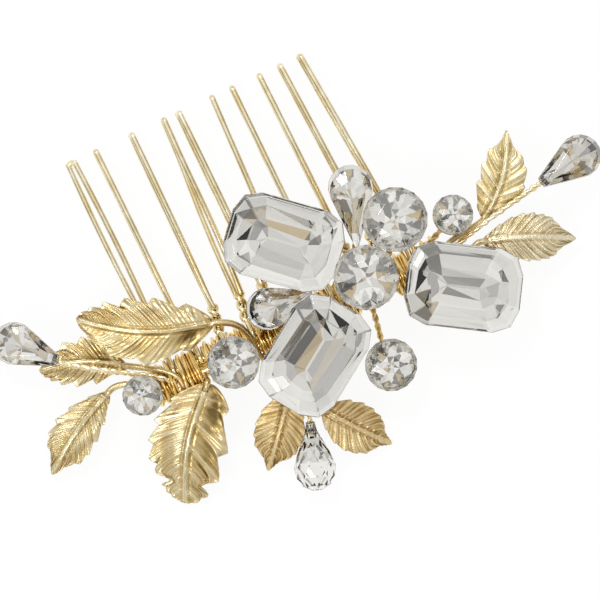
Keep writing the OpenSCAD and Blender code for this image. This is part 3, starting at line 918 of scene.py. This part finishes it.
# Painted reflection tones, light and dark, for the facets of the round and drop backs; the dimmer ones go on
# the right end drop.
ROUND_TONES = (0.9, 0.66, 0.58, 0.1, 0.75, 0.55, 0.9, 0.05, 0.68, 0.3, 0.8, 0.7)
DIMMER_REFLECTION_TONES = (0.5, 0.3, 0.6, 0.34, 0.66, 0.4, 0.16)
DROP_TONES = (0.76, 0.5, 0.32, 0.82, 0.36, 0.66, 0.55)
STEM_DROP_TONES = {"left_end_drop": DROP_TONES, "right_end_drop": DIMMER_REFLECTION_TONES}
HANGING_TONES = (0.95, 0.5, 0.75, 0.32, 1.0, 0.44, 0.66)

STEP_DULL, DROP_DULL = 0.2, 0.3
STEP_SEED = 31.7
SET_TIP, STEM_TIP = 0.3, 0.8

for row, (name, (pos, tilt, turn, hook)) in enumerate(STEP_STONES.items()):
    seed = row * STEP_SEED
    make_stone(
        name + "_stone", lambda bm: loft(bm, step_loops(seed)), step_body(seed),
        seat(pos, tilt, turn), tones_by_side(STEP_TONES[name]), STEP_DULL,
    )
    make_setting(name + "_setting", step_cup, pos, tilt, turn, STEP_PAV + 0.4, hook)

for row, (name, (pos, tilt, turn, d, hook)) in enumerate(ROUND_STONES.items()):
    make_stone(
        name + "_stone", lambda bm: hull_of(bm, round_points(d)), round_body(d),
        seat(pos, tilt, turn), tones_in_turn(ROUND_TONES, row * 4),
    )
    deep = ROUND_PAV * d + 0.3
    make_setting(name + "_setting", lambda bm: round_cup(bm, d), pos, tilt, turn, deep, hook)


def make_drop_stone(node, size, place, tone_of):
    make_stone(
        node, lambda bm: loft(bm, drop_loops(*size)), drop_body(*size), place, tone_of, DROP_DULL
    )


for row, (name, (pos, tilt, turn, w, reach, hook)) in enumerate(SET_DROPS.items()):
    tones = tones_in_turn(DROP_TONES, row)
    make_drop_stone(name + "_stone", (w, reach, SET_TIP), seat(pos, tilt, turn), tones)
    make_setting(name + "_setting", drop_cup(w, reach), pos, tilt, turn, DROP_PAV + 0.4, hook)


def make_drop_stem(name, pos, u, reach, hook, swing, leave, peg=PEG_IN):
    """A twisted stem that ends in a peg in the point of a drop."""
    entry = pos + u * (reach + 0.4)
    route = stem_route(hook, entry, -u, swing, leave) + [pos + u * (reach - peg)]
    bm = bmesh.new()
    draw_twist(bm, route, TWIST_STEM_R, DROP_LAY)
    keep_piece("twisted_" + name, bm, [wire_gold], [name])


for row, (name, (pos, tilt, turn, hook, swing, leave)) in enumerate(STEM_DROPS.items()):
    tones = tones_in_turn(STEM_DROP_TONES[name], row)
    make_drop_stone(name, (DROP_W, DROP_REACH, STEM_TIP), seat(pos, tilt, turn), tones)
    u = face_axes(tilt, turn)[0]
    make_drop_stem(name + "_stem", Vector(pos), u, DROP_REACH, hook, swing, leave)

# The hanging drop is cut all round. Its profile goes from the neck down: place along, radius.
HANGING_POS, HANGING_TURN, HANGING_NECK = Vector((-6.9, -22.6, 1.4)), 71, 7.4
HANGING_SIDES, HANGING_BACK, HANGING_PEG = 10, -0.35, 0.2
HANGING_HOOK, HANGING_SWING, HANGING_LEAVE = (5, -1, -1), 4, 2.2
HANGING_PROFILE = (
    (HANGING_NECK, 0.7), (6, 0.95), (4.4, 1.65), (2.6, 2.65),
    (0.6, 3.25), (-1.2, 3.05), (-2.5, 2.1), (-3.2, 0.8),
)


def make_hanging_drop():
    u, v = face_axes((0, 0), HANGING_TURN)[:2]
    bm = bmesh.new()
    route = [HANGING_POS + u * x for x, r in HANGING_PROFILE]
    radii = [r for x, r in HANGING_PROFILE]
    draw_wire(bm, route, radii, HANGING_SIDES, Vector((0, 0, 1)), math.pi / HANGING_SIDES)
    facet = bm.faces.layers.float.new("facet")
    for face in bm.faces:
        face.material_index = 1 if face.normal.z < HANGING_BACK else 0
        # Each facet gets a painted reflection tone, by its row along the drop and its side.
        c = face.calc_center_median() - HANGING_POS
        row = round(c.dot(u) * 1.3)
        side = round(math.atan2(face.normal.dot(v), -face.normal.z) * 1.6)
        face[facet] = HANGING_TONES[(3 * row + side) % len(HANGING_TONES)]
    keep_piece("cut_hanging_drop", bm, [crystal, foil], ["hanging_drop"], smooth=False)
    make_drop_stem(
        "hanging_drop_stem", HANGING_POS, u, HANGING_NECK, HANGING_HOOK, HANGING_SWING, HANGING_LEAVE,
        HANGING_PEG,
    )


make_hanging_drop()


# Leaves.
LEAF_ROWS, LEAF_COLUMNS = 230, 84
SAW_RISE = 0.82
VEIN_SWEEP, SIDE_FOLD = 0.26, 0.1
WAIST_AT, DRIP_AT = 0.83, 0.74
# Middle levels of the painted light and shade of a blade and of its stem.
LEAF_TONE, STEM_TONE = 0.62, 0.66
STEM_IN_BLADE, STEM_SPREAD = 1.2, 1.35


def blade_half(s, wide, blunt):
    """Half the width of a blade along its length, as a share of the widest."""
    return max(0.0, math.sin(math.pi * clamp(s) ** wide)) ** blunt


def saw(phase):
    """A tooth of the edge: a slow rise and a quick fall."""
    return phase / SAW_RISE if phase < SAW_RISE else (1 - phase) / 0.18


def bell(v, wide):
    return math.exp(-(v / wide) ** 2)


def make_leaf(
    node, hook, base, tip, w, finish, slot, seed,
    roll=0.0, arch=1.2, bow=0.0, wide=1.0, blunt=0.82, share=0.3, leave=2.2,
    veins=(9, 9), bold=(1, 1), notch=0.14, rib=0.36, vein=0.14, fine=0.05, ribs=4, shingle=0.2,
    crumple=0.12, waist=0.0, drip=0.0, scoops=(), tone=0.0, vein_highlight=0.4, keen=0.1,
):
    """A blade pressed from sheet, with midrib, veins and fine ribs, on the end of its stem.

    Pairs give the right half first, as the leaf points. A scoop is a hollow: its place along and across,
    and its depth; a scoop is painted in shade too. Each point carries painted light and shade: lighter on
    the midrib, vein ridges and raised crumples, darker in ditches and scoops; the tone moves it all up or
    down.
    """
    base, tip = Vector(base), Vector(tip)
    d = (tip - base).normalized()
    length = (tip - base).length
    flat = Vector((0, 0, 1)).cross(d).normalized()
    rise = d.cross(flat)
    roll = math.radians(roll)
    up = rise * math.cos(roll) + flat * math.sin(roll)
    across = up.cross(d)
    bm = bmesh.new()
    relief = bm.verts.layers.float.new("relief")
    bmesh.ops.create_grid(bm, x_segments=LEAF_ROWS, y_segments=LEAF_COLUMNS, size=1)
    for vert in bm.verts:
        s, t = (vert.co.x + 1) / 2, vert.co.y
        a, half_side = abs(t), 1 if t > 0 else 0
        x = clamp(s + VEIN_SWEEP * a * math.sin(math.pi * s))
        row = s * veins[half_side] + 0.35 * half_side
        phase = row % 1.0
        chance = Vector((math.floor(row) * 1.7 + 0.3, t * 0.1 + half_side * 5.1, seed))
        lobe = 1 + 0.6 * noise.noise(chance)
        edge = 1 - notch * lobe * a * a * (1 - saw(phase)) - waist * bell(x - WAIST_AT, 0.035)
        edge *= 1 - drip * ease((x - DRIP_AT) / 0.15)
        half = max(0.2, w / 2 * blade_half(x, wide, blunt) * edge)
        side = t * half
        body = math.sin(math.pi * clamp(s * 1.01)) ** 0.5
        spine = bell(side, 0.36) - 0.35 * bell(side, 0.12)
        ditch = bell(abs(side) - 0.62, 0.22)
        ridge = bell(phase - 0.8, keen) * ease(a * 9) * (1 - 0.5 * a)
        streak = noise.noise(Vector((row * ribs * 1.4 + seed, a * 1.3, seed * 2.1)))
        lines = (0.5 * math.cos(2 * math.pi * ribs * phase) + 1.1 * streak) * ease(a * 2.4)
        step = (phase - 0.5) * a
        wander = noise.noise(Vector((x * 5 + seed, t * 2.2, seed * 3.3)))
        hollow = sum(
            depth * bell(x - along, 0.11) * bell(t - over, 0.3) for along, over, depth in scoops
        )
        strong = bold[half_side]
        height = rib * spine - 0.3 * rib * ditch
        height += strong * (vein * ridge + fine * lines + shingle * step)
        z = arch * 4 * x * (1 - x) - SIDE_FOLD * half * a * a
        z += body * height + crumple * wander * a - hollow
        # Painted light and shade from the relief: lighter on the midrib, the vein ridges and one side of
        # each shingle step, darker in the ditches beside the midrib, fine rib lines painted light and dark;
        # below, raised crumples are painted lighter and the scoops painted in shade.
        shade = 0.45 * spine - 0.35 * ditch + vein_highlight * ridge + 0.3 * lines + 0.5 * step * strong
        vert[relief] = clamp(LEAF_TONE + tone + shade + 0.3 * wander - 1.1 * hollow)
        out = side + bow * math.sin(math.pi * x)
        vert.co = base + d * (length * x) + across * out + up * z
    bmesh.ops.recalc_face_normals(bm, faces=bm.faces)
    if sum((face.normal for face in bm.faces), Vector()).dot(up) < 0:
        bmesh.ops.reverse_faces(bm, faces=bm.faces)
    under = bmesh.ops.extrude_face_region(bm, geom=bm.faces[:], use_keep_orig=True)["geom"]
    bmesh.ops.translate(bm, vec=up * (-0.8 * LEAF_T), verts=verts_in(under))
    bmesh.ops.recalc_face_normals(bm, faces=bm.faces)
    stem_side = (d + (rise * (arch * 2) + across * (bow * 2.4)) / length).normalized()
    reach = (base - hook_at(place_x(hook[0]) + hook[1] * STEM_APART, 90)).length
    route = stem_route(hook, base, stem_side, share * reach, leave)
    route.append(base + stem_side * STEM_IN_BLADE)
    radii = [STEM_R * mix(1, STEM_SPREAD, ease(k / len(route))) for k in range(len(route))]
    blade = set(bm.verts)
    draw_wire(bm, route, radii, 12)
    for vert in bm.verts:
        if vert not in blade:
            vert[relief] = STEM_TONE + tone
    keep_piece("ribbed_" + node, bm, [finish], [node])


make_leaf(
    "spine_leaf", (3.8, 1, 1), (-11.4, 4.4, 5.2), (-30.5, 13.9, 3.6), 10.7, leaf_gold, "gold", 1.0,
    roll=4, bow=1.5, blunt=0.62, share=0.5, leave=3.0, veins=(7, 5), bold=(1, 0.45), notch=0.24,
    rib=0.5, fine=0.12, ribs=5, shingle=0.5, crumple=0.6,
    scoops=((0.14, 0.4, 0.8), (0.62, 0.45, 0.25)),
)
make_leaf(
    "left_upper_leaf", (1, 1, 1), (-26.2, 4, 1.9), (-39, 9.2, 0.5), 7.8, leaf_gold, "gold", 2.0,
    roll=-6, arch=0.8, bow=-1, wide=1.1, blunt=0.7, veins=(6, 7), notch=0.26, rib=0.45, fine=0.07,
    shingle=0.42, crumple=0.3, scoops=((0.3, -0.4, 0.35), (0.2, 0.4, 0.25)), tone=-0.05,
)
make_leaf(
    "left_lower_leaf", (0, 1, 1), (-30.4, 1.8, 2.7), (-44, -6.1, 0.2), 7.5, leaf_gold, "gold", 3.0,
    roll=6, bow=-0.75, wide=1.2, blunt=0.66, notch=0.16, fine=0.1, crumple=0.35, drip=0.4, tone=0.1,
)
make_leaf(
    "large_low_leaf", (2, -1, -1), (-16.4, -3.6, 4.5), (-27.2, -18.9, -1.5), 12.6, leaf_gold, "gold", 4.0,
    roll=-5, arch=1.8, bow=-1.1, wide=0.98, blunt=0.46, veins=(9, 5), bold=(0.5, 1.5), notch=0.22,
    rib=0.5, vein=0.16, fine=0.1, shingle=0.6, crumple=0.5, waist=0.34,
    scoops=((0.14, 0.6, 0.7), (0.34, 0.5, 0.4), (0.58, 0.45, 0.35)),
)
LOW_PAIR = dict(
    blunt=0.72, veins=(10, 10), notch=0.1, rib=0.45, vein=0.2, ribs=3, shingle=0.14, drip=0.45,
    vein_highlight=0.55, keen=0.13,
)
make_leaf(
    "low_left_leaf", (4, -1, -1), (-5.3, -9.8, 2.6), (-13.6, -19.7, -1.5), 8, satin_gold, "satin_gold", 5.0,
    roll=-4, bow=0.25, **LOW_PAIR,
)
make_leaf(
    "low_right_leaf", (6, 1, -1), (-1.9, -14.6, 2.2), (5.5, -24, -1.5), 8, satin_gold, "satin_gold", 6.0,
    roll=4, bow=-0.3, wide=0.9, **LOW_PAIR,
)
make_leaf(
    "right_upper_leaf", (11, -1, 1), (32.9, 1.35, 3.2), (41.9, 12.3, 3.6), 7.6, pale_gold, "gold", 7.0,
    roll=5, bow=-1.3, wide=0.95, blunt=0.72, share=0.15, leave=3.4, veins=(7, 7), notch=0.13,
    rib=0.4, vein=0.2, fine=0.03, ribs=3, shingle=0.1, drip=0.5, tone=-0.13, vein_highlight=0.6,
)
make_leaf(
    "right_lower_leaf", (11, 4, -1), (31, -1.6, 2.4), (44.6, -7.3, 1), 7.7, matt_gold, "satin_gold", 8.0,
    roll=4, bow=0.45, wide=1.1, blunt=0.74, veins=(13, 13), notch=0.1, rib=0.16, vein=0.07,
    fine=0.09, ribs=3, shingle=0.12, crumple=0.3, drip=0.35, vein_highlight=0.3,
)


# Floor, light and camera.
FLOOR_HALF, FLOOR_CLEAR, FLOOR_WHITE = 0.9, 0.1 * MM, 0.92


def make_floor():
    """A white board that is seen as plain white and still takes the comb's shadow."""
    bm = bmesh.new()
    bmesh.ops.create_grid(bm, x_segments=8, y_segments=8, size=FLOOR_HALF)
    bmesh.ops.translate(bm, vec=(0, 0, cad_box[0].z - FLOOR_CLEAR), verts=bm.verts)
    mesh = bpy.data.meshes.new("floor")
    bm.to_mesh(mesh)
    bm.free()
    floor = bpy.data.objects.new("floor", mesh)
    bpy.context.scene.collection.objects.link(floor)
    finish, paint = new_finish("white_floor")
    straight, glossy, through = (
        paint.node("ShaderNodeLightPath", None, None, out=f"Is {kind} Ray")
        for kind in ("Camera", "Glossy", "Transmission")
    )
    seen = paint.math("MINIMUM", straight + glossy + through, 1.0)
    board = paint.node("ShaderNodeBsdfDiffuse", None, {"Color": (0.93, 0.93, 0.93, 1)})
    white = paint.node("ShaderNodeEmission", None, {"Color": (1, 1, 1, 1), "Strength": 1.0})
    blend = paint.node("ShaderNodeMixShader", None, {0: seen * FLOOR_WHITE, 1: board, 2: white})
    paint.node("ShaderNodeOutputMaterial", None, {"Surface": blend})
    mesh.materials.append(finish)


# Dark gaps between the panels of the light tent: azimuth and half width, in degrees.
TENT_GAPS = ((-78, 12), (8, 8), (92, 8), (176, 9), (-128, 5))
WALL_LEVEL, GAP_DROP, CROWN_LEVEL = 0.96, 0.64, 0.9
# Name, place, size and power of each lamp.
LAMPS = (
    ("key", (-0.014, 0.53, 0.848), 0.26, 2.3),
    ("fill", (-0.539, -0.196, 0.819), 0.3, 1.6),
)


def make_light():
    """A white tent with gaps in its wall, and two small lamps that the stones don't show."""
    world = bpy.data.worlds.new("tent")
    bpy.context.scene.world = world
    world.use_nodes = True
    world.node_tree.nodes.clear()
    sky = Shade(world.node_tree)
    way = sky.node("ShaderNodeTexCoord", None, None, out="Generated")
    x, y, z = (sky.node("ShaderNodeSeparateXYZ", None, {0: way}, out=k) for k in range(3))
    turn = sky.math("ARCTAN2", y, x)

    def gap(at, wide):
        """1 in the dark gap between two panels at this azimuth, 0 elsewhere."""
        near = sky.math("COSINE", turn - math.radians(at))
        return near.ramp(math.cos(math.radians(wide)), math.cos(math.radians(wide * 0.6)))

    gaps = gap(*TENT_GAPS[0])
    for place in TENT_GAPS[1:]:
        gaps = sky.math("MAXIMUM", gaps, gap(*place))
    wall = WALL_LEVEL - gaps * GAP_DROP
    crown = z.ramp(0.86, 0.93)
    level = wall * (1 - crown) + crown * CROWN_LEVEL
    ray = sky.node("ShaderNodeLightPath", None, None, out="Is Camera Ray")
    lit = sky.node("ShaderNodeBackground", None, {"Color": (1, 1, 1, 1), "Strength": level})
    white = sky.node("ShaderNodeBackground", None, {"Color": (1, 1, 1, 1), "Strength": 1.0})
    both = sky.node("ShaderNodeMixShader", None, {0: ray, 1: lit, 2: white})
    sky.node("ShaderNodeOutputWorld", None, {"Surface": both})
    for name, spot, size, power in LAMPS:
        lamp = bpy.data.lights.new(name, "AREA")
        lamp.size = size
        lamp.energy = power
        stand = bpy.data.objects.new(name, lamp)
        stand.location = spot
        stand.visible_transmission = False
        stand.rotation_mode = "QUATERNION"
        stand.rotation_quaternion = (-Vector(spot)).to_track_quat("-Z", "Y")
        bpy.context.scene.collection.objects.link(stand)


SENSOR, CAMERA_FAR, CAMERA_TURN = 36, 2.0, (0.906, -0.423, 0)
FRAME_TALL = 601 / 6.5 * MM
FRAME_CENTRE = Vector((2.0 * MM, 2.0 * MM, 5.0 * MM))


def make_camera():
    """Straight above the comb, turned as it lies in the picture."""
    lens = bpy.data.cameras.new("camera")
    camera = bpy.data.objects.new("camera", lens)
    bpy.context.scene.collection.objects.link(camera)
    bpy.context.scene.camera = camera
    lens.sensor_width = SENSOR
    lens.lens = SENSOR * CAMERA_FAR / FRAME_TALL
    lens.clip_end = 10
    right = Vector(CAMERA_TURN).normalized()
    up = Vector((0, 0, 1)).cross(right)
    turn = Matrix((right, up, right.cross(up))).transposed().to_4x4()
    place = FRAME_CENTRE + Vector((0, 0, CAMERA_FAR))
    camera.matrix_world = Matrix.Translation(place) @ turn


make_floor()
make_light()
make_camera()
bpy.context.scene.view_settings.view_transform = "Standard"
